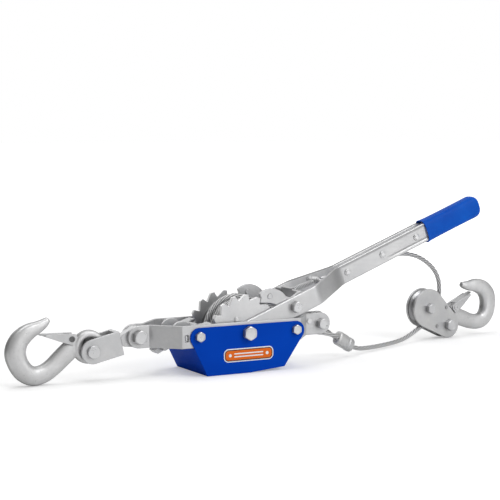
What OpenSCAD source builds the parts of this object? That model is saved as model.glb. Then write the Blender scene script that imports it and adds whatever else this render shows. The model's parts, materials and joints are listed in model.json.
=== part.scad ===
// Come along winch: double ratchet cable puller with two latch hooks.
// +X runs from the anchor hook to the handle end, +Z is up, millimetres.
// The origin lies on the flat bottom of the guard, below the drum shaft.

/* [Frame] */
// Height of the drum shaft above the bottom of the guard
shaft_z = 53.5; // [52.5:0.5:56]
// Height of the flat bars of the frame
bar_h = 30; // [28:1:31]
// Thickness of the frame plates and handle straps
bar_t = 4.5; // [4.2:0.1:4.5]
// Thickness of the guard sheet
guard_t = 2; // [1.5:0.5:2]
// Width of the anchor hook clevis arms
clevis_h = 32; // [30:1:34]

/* [Drum] */
// Radius over the ratchet teeth
wheel_r = 50; // [49:0.5:50.5]
// Radius of the drum barrel
spool_r = 20; // [16:1:24]
// Diameter of the wire rope
rope_d = 6.2; // [5.4:0.2:6.2]

/* [Handle] */
// Angle of the handle above the frame at rest
handle_angle = 21.2; // [21.2:0.1:22]
// Length from the drum shaft to the end of the grip
handle_len = 442; // [420:1:470]
// Height of the grip
grip_h = 33; // [31:1:35]
// Thickness of the grip
grip_w = 24; // [24:1:27]

/* [Hooks] */
// Radius of the anchor hook eye
eye_r = 22; // [21:0.5:23]
// Radius of the hole in the anchor hook eye
eye_hole_r = 12; // [12:0.5:13]
// Radius of the sheave
sheave_r = 28; // [26:0.5:28]

/* [Hidden] */

rope_r = rope_d / 2;
plate_out = 44.3;
plate_in = plate_out - bar_t;
neck_out = 11.7;
neck_in = neck_out - bar_t;
strap_out = 39.2;
strap_in = strap_out - bar_t;
guard_in = 44.5;
guard_out = guard_in + guard_t;
wheel_in = 28.5;
wheel_out = 34;
shaft_r = 6;
run_fit = 0.06;
anchor_x = -144.2;
rope_end_x = 133.8;
hold_x = -90.4;
hold_z = -1.7;
fork_r = 82;
block_yaw = 6;
hook_s = -3.2;
hook_h = -33;
sheave_s = -44;
sheave_h = -4.5;
block_in = 14.6;
block_t = 3;
block_mid = block_in / 2 + block_t;
zinc = [0.75, 0.76, 0.78];
steel = [0.6, 0.61, 0.63];
blue = [0.05, 0.28, 0.68];

// places children in the frame whose origin is the drum shaft
module at_shaft() {
    translate([0, 0, shaft_z]) children();
}

// extrudes a drawing of x and z from y0 to y1
module slab(y0, y1) {
    translate([0, y1, 0]) rotate([90, 0, 0]) linear_extrude(height = y1 - y0) children();
}

// a round bar along y
module rod(x, z, r, y0, y1) {
    translate([x, y1, z]) rotate([90, 0, 0]) cylinder(h = y1 - y0, r = r, $fn = 48);
}

// a hexagon along y, across flats af
module hex(x, z, af, y0, y1) {
    translate([x, y1, z]) rotate([90, 0, 0]) rotate([0, 0, 30])
        cylinder(h = y1 - y0, r = af / sqrt(3), $fn = 6);
}

function unit(v) = v / norm(v);
function path_dir(p, i) = unit(p[min(i + 1, len(p) - 1)] - p[max(i - 1, 0)]);
function ring_pt(c, t, ref, ra, rb, a) = let (
    u = unit(cross(t, ref)), w = cross(u, t)) c + u * ra * cos(a) + w * rb * sin(a);
// smooth curve through hand set points, sub steps between each two
function spline_pt(a, b, c, d, t) = 0.5 * ((2 * b) + (c - a) * t
    + (2 * a - 5 * b + 4 * c - d) * t * t + (3 * b - a - 3 * c + d) * t * t * t);
function smooth(p, sub) = [for (i = [0 : len(p) - 2]) for (k = [0 : sub - 1])
    spline_pt(p[max(i - 1, 0)], p[i], p[i + 1], p[min(i + 2, len(p) - 1)], k / sub),
    p[len(p) - 1]];

// a closed tube along a path, with a radius pair for each ring
module tube(path, ra, rb, sides, ref) {
    n = len(path);
    pts = [for (i = [0 : n - 1]) for (k = [0 : sides - 1])
        ring_pt(path[i], path_dir(path, i), ref, ra[i], rb[i], k * 360 / sides)];
    side_faces = [for (i = [0 : n - 2]) for (k = [0 : sides - 1]) for (h = [0 : 1])
        h == 0 ? [i * sides + k, i * sides + (k + 1) % sides, (i + 1) * sides + k]
        : [i * sides + (k + 1) % sides, (i + 1) * sides + (k + 1) % sides,
            (i + 1) * sides + k]];
    start_face = [for (k = [sides - 1 : -1 : 0]) k];
    end_face = [for (k = [0 : sides - 1]) (n - 1) * sides + k];
    polyhedron(points = pts, faces = concat(side_faces, [start_face, end_face]));
}

module wire(path, r, sides, ref) {
    rr = [for (p = path) r];
    tube(path, rr, rr, sides, ref);
}

// ---------------------------------------------------------------- frame
module plate_plan() {
    polygon([[-170, neck_out], [-129.6, neck_out], [-97.4, plate_out], [82, plate_out],
        [110, neck_out], [160, neck_out], [160, neck_in], [107.9, neck_in],
        [79.9, plate_in], [-95.5, plate_in], [-127.7, neck_in], [-170, neck_in]]);
}

module plate_side() {
    difference() {
        union() {
            translate([anchor_x, -bar_h / 2]) square([rope_end_x - anchor_x, bar_h]);
            translate([anchor_x, 0]) circle(r = bar_h / 2, $fn = 64);
            translate([rope_end_x, 0]) circle(r = bar_h / 2, $fn = 64);
        }
        circle(r = shaft_r + 0.15, $fn = 48);
        for (x = [-73.1, 73.1]) translate([x, 0]) circle(r = 4.15, $fn = 32);
        translate([anchor_x, 0]) circle(r = 6.15, $fn = 32);
        translate([rope_end_x, 0]) circle(r = 5.15, $fn = 32);
        translate([115, 4.4]) circle(r = 2.3, $fn = 24);
        translate([hold_x - 2.6, hold_z - 4.7]) square([5.2, 9.4]);
    }
}

module frame_plate() {
    intersection() {
        translate([0, 0, -30]) linear_extrude(height = 60) plate_plan();
        slab(0, 60) plate_side();
    }
}

module frame_plate_front() {
    color(zinc) at_shaft() mirror([0, 1, 0]) frame_plate();
}

module frame_plate_rear() {
    color(zinc) at_shaft() frame_plate();
}

module guard_side() {
    difference() {
        union() {
            polygon([[-61.5, -shaft_z], [2.5, -shaft_z], [55.2, -49.1], [85.1, -6.4],
                [85.1, 0], [73.1, 11.5], [-73.1, 11.5], [-84.5, 0], [-84.5, -7.6]]);
            for (x = [-73.1, 73.1]) translate([x, -1.5]) circle(r = 13, $fn = 64);
        }
        circle(r = shaft_r + 0.15, $fn = 48);
        for (x = [-73.1, 73.1]) translate([x, 0]) circle(r = 4.15, $fn = 32);
    }
}

module guard_floor() {
    polygon([[-61.5, -shaft_z], [2.5, -shaft_z], [55.2, -49.1], [78.4, -16],
        [75.9, -16], [54.1, -47.2], [2.4, guard_t - shaft_z],
        [-60.2, guard_t - shaft_z], [-77.7, -16], [-80.1, -16]]);
}

module guard() {
    color(blue) at_shaft() {
        slab(-guard_out, -guard_in) guard_side();
        slab(guard_in, guard_out) guard_side();
        slab(-guard_out, guard_out) guard_floor();
    }
}

module guard_bolts() {
    color(zinc) at_shaft() for (x = [-73.1, 73.1]) for (m = [0, 1]) mirror([0, m, 0]) {
        hex(x, 0, 12, -guard_out - 5, -guard_out);
        rod(x, 0, 4, -guard_out, -32.5);
    }
}

module guard_nuts() {
    color(zinc) at_shaft() for (x = [-73.1, 73.1]) for (m = [0, 1]) mirror([0, m, 0])
        difference() {
            hex(x, 0, 12, -plate_in, -plate_in + 6.3);
            rod(x, 0, 4.1, -plate_in - 1, -plate_in + 7);
        }
}

module drum_shaft_bolt() {
    color(zinc) at_shaft() {
        hex(0, 0, 17, -guard_out - 7.5, -guard_out);
        rod(0, 0, shaft_r, -guard_out, guard_out + 13);
    }
}

module drum_shaft_nut() {
    color(zinc) at_shaft() difference() {
        hex(0, 0, 17, guard_out, guard_out + 10);
        rod(0, 0, shaft_r + 0.1, guard_out - 1, guard_out + 11);
    }
}

module anchor_bolt() {
    color(zinc) at_shaft() {
        hex(anchor_x, 0, 17, -neck_out - 8.5, -neck_out);
        rod(anchor_x, 0, 6, -neck_out, neck_out + 12);
    }
}

module anchor_nut() {
    color(zinc) at_shaft() difference() {
        hex(anchor_x, 0, 17, neck_out, neck_out + 10);
        rod(anchor_x, 0, 6.1, neck_out - 1, neck_out + 11);
    }
}

module rope_end_bolt() {
    color(zinc) at_shaft() {
        hex(rope_end_x, 0, 13.4, -neck_out - 9, -neck_out);
        rod(rope_end_x, 0, 5, -neck_out, neck_out + 10);
    }
}

module rope_end_nut() {
    color(zinc) at_shaft() difference() {
        hex(rope_end_x, 0, 13.4, neck_out, neck_out + 8);
        rod(rope_end_x, 0, 5.1, neck_out - 1, neck_out + 9);
    }
}

module neck_rivet() {
    color(steel) at_shaft() {
        rod(115, 4.4, 2.2, -neck_out, neck_out);
        rod(115, 4.4, 4, -neck_out - 1.5, -neck_out);
        rod(115, 4.4, 4, neck_out, neck_out + 1.5);
    }
}

// ---------------------------------------------------------------- rope end
module rope_thimble() {
    color(steel) at_shaft() difference() {
        rod(rope_end_x, 0, 12.6, -4.5, 4.5);
        rod(rope_end_x, 0, 5.15, -5, 5);
        translate([rope_end_x, 0, 0]) rotate([90, 0, 0])
            rotate_extrude($fn = 64) translate([13.6, 0]) circle(r = rope_r + 0.5, $fn = 32);
    }
}

eye_route = [[170.3, 2.7, -23.6], [162, 0.8, -20.4], [154, -0.8, -17.8], [146, -1.8, -15.8],
    [137, -1, -14.2], [127.6, 0, -12.1], [121.7, 0, -6], [120.2, 0, 0], [121.7, 0, 6.2],
    [126.5, 0, 11.4], [133.8, 0, 13.6], [141, 0, 11.5], [145.8, 0, 6.2], [147.8, 0.6, -1],
    [149.6, 2.4, -7], [152.8, 4.6, -12.6], [158.8, 6.9, -17.2], [169.3, 9.1, -23.7]];
echo(eye_gap = least_gap(smooth(eye_route, 2), 8, rope_r - 0.1));

module rope_eye() {
    color(steel) at_shaft() wire(smooth(eye_route, 2), rope_r - 0.1, 8, [0, 1, 0]);
}

ferrule_c = [184.8, 8.6, -32];

module rope_ferrule() {
    color(zinc) at_shaft() translate(ferrule_c) rotate([0, 0, 11]) rotate([0, 29, 0])
        rotate([0, 90, 0]) translate([0, 0, -17]) {
            linear_extrude(height = 34) ferrule_section(7.2);
            translate([0, 0, 2.4]) linear_extrude(height = 17.6) ferrule_section(7.7);
            translate([0, 0, 22.6]) linear_extrude(height = 8.6) ferrule_section(7.7);
        }
}

module ferrule_section(r) {
    square([5, 2 * r], center = true);
    for (m = [-1, 1]) translate([m * 2.5, 0]) circle(r = r, $fn = 40);
}

drum_arc_r = 46.1;
drum_arc = [for (a = [215 : -24 : 71]) [drum_arc_r * cos(a), -6 - (a - 71) * 0.0222,
    drum_arc_r * sin(a)]];
upper_route = [[27, -4.8, 39], [45, -2, 31.6], [64, 2, 24.2], [82, 6.4, 19.4],
    [100, 12, 19.4], [120, 23, 21.6], [140, 38, 31], [160, 49.4, 42.8],
    [188, 55, 57], [220, 57.6, 69.2], [252, 59, 77.4], [286, 60.2, 82.3],
    [318, 62.6, 84.3], [345, 68.4, 81], [366, 73.6, 73.8], [385.4, 79, 62.8],
    [400, 84.6, 50.6], [409, 88.8, 37], [413, 91.8, 22], [412.8, 93.2, 8.6]];
sheave_rope_r = 26.6;
sheave_arc = [for (a = [3 : -19 : -92]) [430, 85, sheave_h]
    + (sheave_s + sheave_rope_r * cos(a)) * [cos(block_yaw), sin(block_yaw), 0]
    + block_mid * [-sin(block_yaw), cos(block_yaw), 0] + [0, 0, sheave_rope_r * sin(a)]];
lower_route = [[372.4, 86.4, -34], [352, 77.4, -40.6], [330, 67.6, -45.8],
    [306, 56.4, -47.8], [280, 44.6, -48.2], [254, 34, -48],
    [230, 25, -47.2], [214, 17.6, -45], [200.2, 11.7, -40.8]];
rope_path = smooth(concat(drum_arc, upper_route, sheave_arc, lower_route), 2);
rope_len = [for (i = [1 : len(rope_path) - 1]) norm(rope_path[i] - rope_path[i - 1])];
function total(v, i = 0) = i < len(v) ? v[i] + total(v, i + 1) : 0;
echo(rope_length = total(rope_len), rings = len(rope_path));
// least room between turns of a wire, measured between its points skip or more steps apart
function least_gap(p, skip, r) = min([for (i = [0 : len(p) - 1 - skip])
    for (j = [i + skip : len(p) - 1]) norm(p[j] - p[i])]) - 2 * r;

module rope_run() {
    color(steel) at_shaft() wire(rope_path, rope_r, 8, [0, 1, 0]);
}

// ---------------------------------------------------------------- holding pawl
module holding_pawl_pin() {
    color(zinc) at_shaft() {
        rod(hold_x, hold_z, 5.5, -22, 22);
        translate([hold_x - 2.5, -plate_in - 1.4, hold_z - 4.6])
            cube([5, 2 * plate_in + 2.8, 9.2]);
        translate([hold_x - 1.4, -plate_out + 1.5, hold_z - 3.1])
            cube([2.8, 2 * plate_out - 3, 6.2]);
    }
}

spring_turns = 3;
hold_coil = [for (i = [0 : spring_turns * 10]) let (a = i * 36)
    [hold_x + 7 * cos(a), -12 + i * 0.19, hold_z + 7 * sin(a)]];

echo(hold_spring_gap = least_gap(hold_coil, 5, 0.6));

module holding_pawl_spring() {
    color(steel) at_shaft() wire(hold_coil, 0.6, 6, [0, 1, 0]);
}

hold_nose_r = 45;
hold_rest = 20;

// side plate of the holding pawl, drawn at the pivot with its nose along +x
module hold_cheek() {
    difference() {
        union() {
            circle(r = 12, $fn = 48);
            translate([6.7, 3.2]) circle(r = 14.8, $fn = 64);
            polygon([[0, -10], [30, -7.4], [38, -4.6], [38, 2], [30, 3.6], [21, 8], [10, 12],
                [-11, 4], [-20, 0], [-26.4, -5.2], [-25, -10.2], [-16, -9.6]]);
        }
        circle(r = 5.5 + run_fit, $fn = 48);
    }
}

module holding_pawl() {
    color(zinc) at_shaft() translate([hold_x, 0, hold_z]) rotate([0, -hold_rest, 0]) {
        slab(-19.2, -14.7) hold_cheek();
        slab(14.7, 19.2) hold_cheek();
        slab(-19.2, 19.2) polygon([[29, -7.4], [34.5, -5.8], [34.5, 2.4], [29, 3.4]]);
        for (m = [0, 1]) mirror([0, m, 0]) slab(18, 33.6)
            polygon([[31, -2.4], [hold_nose_r - 2.4, 0.1], [hold_nose_r, 0.8],
                [hold_nose_r - 0.6, 2], [31, 2.6]]);
        slab(-19.2, 19.2) polygon([[-26.4, -5.2], [-25, -10.2], [-22, -9.8],
            [-23.2, -4.7]]);
        slab(-9, 9) polygon([[-22, -4.6], [-35, -6.6], [-31.6, -13], [-18.5, -11.6]]);
    }
}

// ---------------------------------------------------------------- pulley block

module at_block() {
    translate([430, 85, shaft_z]) rotate([0, 0, block_yaw]) children();
}

block_dx = hook_s - sheave_s;
block_dz = hook_h - sheave_h;
block_len = norm([block_dx, block_dz]);
block_ang = atan2(block_dz, block_dx);
block_big = 30;
block_small = 20.4;
block_tan = acos((block_big - block_small) / block_len);

module block_side() {
    difference() {
        polygon(concat(
            [for (k = [0 : 40]) let (a = block_ang + block_tan + k * (360 - 2 * block_tan) / 40)
                [sheave_s, sheave_h] + block_big * [cos(a), sin(a)]],
            [for (k = [0 : 24]) let (a = block_ang - block_tan + k * 2 * block_tan / 24)
                [hook_s, hook_h] + block_small * [cos(a), sin(a)]]));
        translate([sheave_s, sheave_h]) circle(r = 5.15, $fn = 32);
        translate([hook_s, hook_h]) circle(r = 6.15, $fn = 32);
        for (p = block_pins) translate(p) circle(r = 2.6, $fn = 24);
    }
}

block_pins = [[-8.8, -5.4], [-27.6, -33.4]];

module block_plate_front() {
    color(zinc) at_block() slab(0, block_t) block_side();
}

module block_plate_rear() {
    color(zinc) at_block() slab(block_t + block_in, 2 * block_t + block_in) block_side();
}

block_back = 2 * block_t + block_in;

module sheave_bolt() {
    color(zinc) at_block() {
        hex(sheave_s, sheave_h, 14, -8, 0);
        rod(sheave_s, sheave_h, 5, 0, block_back + 10);
    }
}

module sheave_nut() {
    color(zinc) at_block() difference() {
        hex(sheave_s, sheave_h, 14, block_back, block_back + 8);
        rod(sheave_s, sheave_h, 5.1, block_back - 1, block_back + 9);
    }
}

module hook_bolt() {
    color(zinc) at_block() {
        hex(hook_s, hook_h, 16, -8.5, 0);
        rod(hook_s, hook_h, 6, 0, block_back + 12);
    }
}

module hook_nut() {
    color(zinc) at_block() difference() {
        hex(hook_s, hook_h, 16, block_back, block_back + 10);
        rod(hook_s, hook_h, 6.1, block_back - 1, block_back + 11);
    }
}

module block_spacers() {
    color(steel) at_block() for (p = block_pins) {
        rod(p[0], p[1], 3.2, block_t, block_t + block_in);
        rod(p[0], p[1], 2.5, -0.8, block_back + 0.8);
    }
}

module sheave() {
    color(steel) at_block() translate([sheave_s, block_mid, sheave_h])
        rotate([90, 0, 0]) difference() {
            translate([0, 0, -6.5]) cylinder(h = 13, r = sheave_r, $fn = 96);
            translate([0, 0, -7]) cylinder(h = 14, r = 8, $fn = 48);
            rotate_extrude($fn = 96) polygon([[sheave_rope_r - 3.6, -2],
                [sheave_rope_r - 3.6, 2], [sheave_rope_r + 4, 6.2],
                [sheave_rope_r + 4, -6.2]]);
        }
}

module sheave_bush() {
    color([0.75, 0.6, 0.3]) at_block() difference() {
        rod(sheave_s, sheave_h, 8, block_t + 0.4, block_t + block_in - 0.4);
        rod(sheave_s, sheave_h, 5 + run_fit, 0, block_back);
    }
}

// ---------------------------------------------------------------- drum
teeth = 16;
drum_rivet_at = [122.5, 212.5, 302.5];
rivet_at = [192, (68 + handle_len) / 2, handle_len - 124];
grip_at = handle_len - 105;

module wheel_side() {
    difference() {
        polygon([for (k = [0 : teeth - 1]) for (q = [[-2.6, wheel_r], [3.6, wheel_r],
            [15.6, wheel_r - 7.6], [17.4, wheel_r - 6.2]]) let (
            a = 17.5 + k * 360 / teeth + q[0]) q[1] * [cos(a), sin(a)]]);
        circle(r = shaft_r + run_fit, $fn = 48);
        for (a = drum_rivet_at) rotate(a) translate([20.5, 0]) circle(r = 3, $fn = 32);
    }
}

module ratchet_wheel_front() {
    color(zinc) at_shaft() slab(-wheel_out, -wheel_in) wheel_side();
}

module ratchet_wheel_rear() {
    color(zinc) at_shaft() slab(wheel_in, wheel_out) wheel_side();
}

module drum_spool() {
    color(steel) at_shaft() difference() {
        union() {
            rod(0, 0, spool_r, -wheel_in, wheel_in);
            rod(0, 0, 34, -wheel_in, -26);
            rod(0, 0, 34, 26, wheel_in);
        }
        rod(0, 0, shaft_r + run_fit, -30, 30);
        for (a = drum_rivet_at) for (m = [0, 1]) mirror([0, m, 0])
            rotate([0, -a, 0]) rod(20.5, 0, 3, 25.5, 30);
    }
}

module drum_rivets() {
    color(steel) at_shaft() for (a = drum_rivet_at) for (m = [0, 1]) mirror([0, m, 0])
        rotate([0, -a, 0]) {
            rod(20.5, 0, 3, 26, wheel_out);
            rod(20.5, 0, 4.4, wheel_out, wheel_out + 0.7);
            rod(20.5, 0, 3.2, wheel_out + 0.7, wheel_out + 1.3);
        }
}

wind_r = 39.4;
wind_pitch = 6.7;
wind_steps = 24;
wind_n = 67;
wind_end = -4;
wind_helix = [for (i = [0 : wind_n]) let (a = 225 - i * 360 / wind_steps)
    [wind_r * cos(a), wind_end + (i - wind_n) * wind_pitch / wind_steps, wind_r * sin(a)]];
// the last part of the winding climbs to where the standing rope leaves it
// rolling over the turn beside it, whose middle it keeps one pitch away from
wind_climb = [for (i = [1 : 5]) let (a = 300 - i * 16.4, r = wind_r + wind_pitch * sin(i * 18))
    [r * cos(a), wind_end - wind_pitch + i * 0.3 + wind_pitch * cos(i * 18), r * sin(a)]];
wind_path = concat(wind_helix, wind_climb);
echo(wind_gap = least_gap(wind_path, 12, rope_r));

module rope_on_drum() {
    color(steel) at_shaft() {
        difference() {
            rod(0, 0, wind_r - rope_r - 0.2, -25.8, wind_end + rope_r);
            rod(0, 0, spool_r, -26, 26);
        }
        wire(wind_path, rope_r, 6, [0, 1, 0]);
    }
}

// ---------------------------------------------------------------- handle
module on_handle() {
    translate([0, 0, shaft_z]) rotate([0, -handle_angle, 0]) children();
}

module strap_plan() {
    polygon([[-20, strap_out], [125, strap_out], [178, 9.5], [handle_len, 9.5],
        [handle_len, 9.5 - bar_t], [176.8, 9.5 - bar_t], [123.8, strap_in],
        [-20, strap_in]]);
}

module strap_side() {
    difference() {
        union() {
            circle(r = 13.5, $fn = 64);
            translate([0, -13.5]) square([grip_at - 1, 27]);
            translate([grip_at - 7, -11.8]) square([handle_len - grip_at + 1, 23.6]);
        }
        circle(r = shaft_r + run_fit, $fn = 48);
        translate([fork_r, 0]) circle(r = 5.15, $fn = 32);
        for (x = rivet_at) translate([x, 0]) circle(r = 3.1, $fn = 24);
    }
}

module handle_strap() {
    difference() {
        intersection() {
            translate([0, 0, -30]) linear_extrude(height = 60) strap_plan();
            slab(0, 60) strap_side();
        }
        rod(146, 7.2, 3.05, 0, 24.1);
    }
}

module handle_strap_front() {
    color(zinc) on_handle() mirror([0, 1, 0]) handle_strap();
}

module handle_strap_rear() {
    color(zinc) on_handle() handle_strap();
}

module round_box(w, h, r) {
    square([w - 2 * r, h], center = true);
    square([w, h - 2 * r], center = true);
    for (x = [-1, 1]) for (y = [-1, 1]) translate([x * (w / 2 - r), y * (h / 2 - r)])
        circle(r = r, $fn = 40);
}

module grip_top(h, r) {
    translate([0, -h / 2]) square([handle_len - r, h]);
    translate([0, -h / 2 + r]) square([handle_len, h - 2 * r]);
    for (m = [-1, 1]) translate([handle_len - r, m * (h / 2 - r)]) circle(r = r, $fn = 64);
}

module handle_grip() {
    color(blue) on_handle() difference() {
        union() {
            intersection() {
                translate([grip_at + 3, 0, 0]) rotate([90, 0, 90])
                    linear_extrude(height = handle_len - grip_at - 3)
                    round_box(grip_w, grip_h, 9.4);
                slab(-20, 20) grip_top(grip_h, 13);
                translate([0, 0, -20]) linear_extrude(height = 40) grip_top(grip_w, 9);
            }
            translate([grip_at, 0, 0]) rotate([90, 0, 90]) linear_extrude(height = 5)
                round_box(grip_w + 2, grip_h + 2, 10);
        }
        for (m = [0, 1]) mirror([0, m, 0])
            translate([grip_at - 2, 9.5 - bar_t, -11.8])
                cube([handle_len - grip_at - 4, bar_t, 23.6]);
    }
}

module handle_rivets() {
    color(steel) on_handle() for (x = rivet_at) {
        rod(x, 0, 3, -9.5, 9.5);
        for (m = [0, 1]) mirror([0, m, 0]) {
            rod(x, 0, 4.8, 9.5, 10.9);
            rod(x, 0, 3.4, 10.9, 11.8);
        }
    }
}

module handle_spacers() {
    color(steel) on_handle() for (x = rivet_at) difference() {
        rod(x, 0, 6, bar_t - 9.5, 9.5 - bar_t);
        rod(x, 0, 3.1, -6, 6);
    }
}

module pawl_bolt() {
    color(zinc) on_handle() {
        hex(fork_r, 0, 14, -strap_out - 8.6, -strap_out);
        rod(fork_r, 0, 5, -strap_out, strap_out + 11);
    }
}

module pawl_bolt_nut() {
    color(zinc) on_handle() difference() {
        hex(fork_r, 0, 14, strap_out, strap_out + 8.4);
        rod(fork_r, 0, 5.1, strap_out - 1, strap_out + 9);
    }
}

rod_end = [90.6, 46.6];
pin_x = 146 * cos(21.2) - 7.2 * sin(21.2);
pin_z = 146 * sin(21.2) + 7.2 * cos(21.2);
rod_ang = atan2(pin_z - rod_end[1], pin_x - rod_end[0]);
rod_len = norm([pin_z - rod_end[1], pin_x - rod_end[0]]);

// the frame of the spring's guide rod, x along the rod from its head
module on_rod() {
    translate([0, 0, shaft_z]) rotate([0, 21.2 - handle_angle, 0])
        translate([rod_end[0], 0, rod_end[1]]) rotate([0, -rod_ang, 0]) children();
}

module spring_cross_pin() {
    color(zinc) difference() {
        on_handle() union() {
            rod(146, 7.2, 3, -24, 24);
            rod(146, 7.2, 5.6, -6.4, 6.4);
        }
        on_rod() rotate([0, 90, 0]) cylinder(h = 80, r = 2.1 + run_fit, $fn = 32);
    }
}

coil_n = 14;
coil_len = rod_len - 6 - 2.6 - 1.4;
coil = [for (i = [0 : coil_n * 8]) let (a = i * 45)
    [2.6 + 0.7 + coil_len * i / (coil_n * 8), 3.3 * cos(a), 3.3 * sin(a)]];

echo(pawl_spring_gap = least_gap(coil, 4, 0.6));

module pawl_spring() {
    color(steel) on_rod() wire(coil, 0.6, 6, [1, 0, 0]);
}

module spring_rod() {
    color(zinc) on_rod() rotate([0, 90, 0]) {
        cylinder(h = 2.5, r = 4.4, $fn = 40);
        cylinder(h = rod_len + 14, r = 2.1, $fn = 32);
    }
}

tab_n = [cos(rod_ang), sin(rod_ang)];
tab_p = [-sin(rod_ang), cos(rod_ang)];
tab_c = rod_end - 0.8 * tab_n;
pawl_at = fork_r * [cos(21.2), sin(21.2)];

module pawl_cheek() {
    difference() {
        union() {
            polygon(concat([[24.4, 37.9], [26.2, 44.6]],
                [for (a = [128 : -8 : 24]) [41.5, 27.8] + 28.4 * [cos(a), sin(a)]],
                [[74, 42.4], tab_c + 4.4 * tab_p - 4 * tab_n, tab_c + 4.4 * tab_p,
                tab_c - 7 * tab_p, pawl_at + [9.5, 2.4], pawl_at + [3.5, -9.2],
                pawl_at - [6.4, 8.6], [50, 33], [42, 36.2], [33, 37.2]]));
            translate(pawl_at) circle(r = 10, $fn = 48);
        }
        translate(pawl_at) circle(r = 5 + run_fit, $fn = 48);
        translate([39.3, 45.6]) circle(r = 3.6, $fn = 32);
    }
}

module drive_pawl() {
    color(zinc) at_shaft() rotate([0, 21.2 - handle_angle, 0]) {
        slab(-33.9, -29.4) pawl_cheek();
        slab(29.4, 33.9) pawl_cheek();
        slab(-30, 30) polygon([tab_c + 4.4 * tab_p - 4 * tab_n, tab_c + 4.4 * tab_p,
            tab_c - 7 * tab_p, tab_c - 7 * tab_p - 4 * tab_n]);
        slab(-14, 14) polygon([tab_c + 7 * tab_p - 4 * tab_n, tab_c + 7 * tab_p,
            tab_c - 7 * tab_p, tab_c - 7 * tab_p - 4 * tab_n]);
    }
}

module pawl_rivets() {
    color(steel) at_shaft() rotate([0, 21.2 - handle_angle, 0])
        for (m = [0, 1]) mirror([0, m, 0]) rod(39.3, 45.6, 3.6, 28.6, 34.5);
}

// ---------------------------------------------------------------- anchor hook
link_tilt = 12.5;
pin_at = 66.5;
// turns the hook up about its pin until its bowl stands on the ground
anchor_lift = 3.45;

// frame at the anchor bolt with x running down the link to the hook
module on_link() {
    translate([anchor_x, 0, shaft_z]) rotate([0, -180 - link_tilt, 0]) children();
}

module swivel_eye() {
    color(zinc) on_link() {
        difference() {
            union() {
                rod(0, 0, 14, -6.8, 6.8);
                translate([10, 0, 0]) rotate([0, 90, 0]) cylinder(h = 27, r = 5, $fn = 40);
                translate([12, 0, 0]) rotate([0, 90, 0])
                    cylinder(h = 11.5, r1 = 6.8, r2 = 5, $fn = 40);
                slab(-6.6, 6.6) polygon([[2, 13.8], [20, 8], [23.2, 5], [23.2, -5],
                    [20, -8], [2, -13.8]]);
            }
            rod(0, 0, 6 + run_fit, -8, 8);
        }
        translate([31.9, 0, 0]) rotate([0, 90, 0]) cylinder(h = 5.4, r = 8, $fn = 48);
    }
}

module clevis() {
    color(zinc) on_link() difference() {
        union() {
            for (m = [0, 1]) mirror([0, m, 0]) slab(10, 14) {
                translate([26, -clevis_h / 2]) square([pin_at - 26, clevis_h]);
                translate([pin_at, 0]) circle(r = clevis_h / 2, $fn = 64);
            }
            translate([26, -14, -clevis_h / 2]) cube([5.5, 28, clevis_h]);
        }
        translate([20, 0, 0]) rotate([0, 90, 0]) cylinder(h = 15, r = 5 + run_fit, $fn = 40);
        rod(pin_at, 0, 6.1, -20, 20);
    }
}

module clevis_pin() {
    color(zinc) on_link() {
        rod(pin_at, 0, 6, -14, 17);
        rod(pin_at, 0, 8.5, -18, -14);
        rod(pin_at, 0, 8.5, 14, 16.5);
    }
}

hook_line = [[15, 4.6], [26, -4.4], [38, -16], [48.5, -26.2], [60.5, -34],
    [73, -36.6], [85, -31.6], [94, -20.4], [98.4, -6.6], [95.4, 6.4], [88, 15.4],
    [79.4, 21.4], [70, 25.8], [61.8, 31], [57.6, 34.9]];
hook_wide = [10.5, 12.6, 12.6, 12, 12, 12.4, 13, 13.2, 13.6, 12.7, 11.6, 10, 7.7, 5.2, 2.9];
hook_deep = [6.2, 6.4, 6.8, 7.8, 8.8, 9.2, 9.6, 9.8, 9.8, 9.4, 8.6, 7.6, 6.2, 4.8, 2.8];
hook_path = smooth([for (p = hook_line) [p[0], 0, p[1]]], 2);
hook_ra = smooth(hook_wide, 2);
hook_rb = smooth(hook_deep, 2);

// a forged hook, its eye at the origin and its bowl along +x
module hook_body(er, hr, half, bowl) {
    difference() {
        rod(0, 0, er, -half, half);
        rod(0, 0, hr, -half - 1, half + 1);
    }
    translate(bowl) tube(hook_path, hook_ra, hook_rb, 14, [0, 1, 0]);
}

latch_x = 26;
latch_z = 11;
latch_far_x = 67.6;
latch_far_z = 11.6;
latch_ang = atan2(latch_far_z - latch_z, latch_far_x - latch_x);
latch_len = norm([latch_far_z - latch_z, latch_far_x - latch_x]);

module on_latch() {
    translate([latch_x, 0, latch_z]) rotate([0, -latch_ang, 0]) children();
}

module latch_body() {
    on_latch() {
        for (m = [0, 1]) mirror([0, m, 0]) slab(7.3, 8.8) difference() {
            union() {
                circle(r = 5, $fn = 40);
                polygon([[-4, -8.4], [12, -4.6], [latch_len - 6, 2.2],
                    [latch_len - 6, 5.2], [12, 6.2], [-5, 7], [-7, 1]]);
            }
            circle(r = 2.5 + run_fit, $fn = 32);
        }
        translate([0, 0, 3.6]) linear_extrude(height = 1.6)
            polygon([[6, -8.8], [latch_len - 8, -6], [latch_len, -4], [latch_len, 4],
                [latch_len - 8, 6], [6, 8.8]]);
    }
}

module latch_rivet_body() {
    translate([latch_x, 0, latch_z]) {
        rod(0, 0, 2.5, -9.1, 9.1);
        for (m = [0, 1]) mirror([0, m, 0]) difference() {
            rod(0, 0, 3.8, 8.9, 9.9);
            rod(0, 0, 2, 9.1, 10.5);
        }
    }
}

latch_coil = [for (i = [0 : 12]) let (a = i * 30 + 60)
    [latch_x + 3.3 * cos(a), 5.3 + i * 0.11, latch_z + 3.3 * sin(a)]];

echo(latch_spring_gap = least_gap(latch_coil, 6, 0.4));

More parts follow.
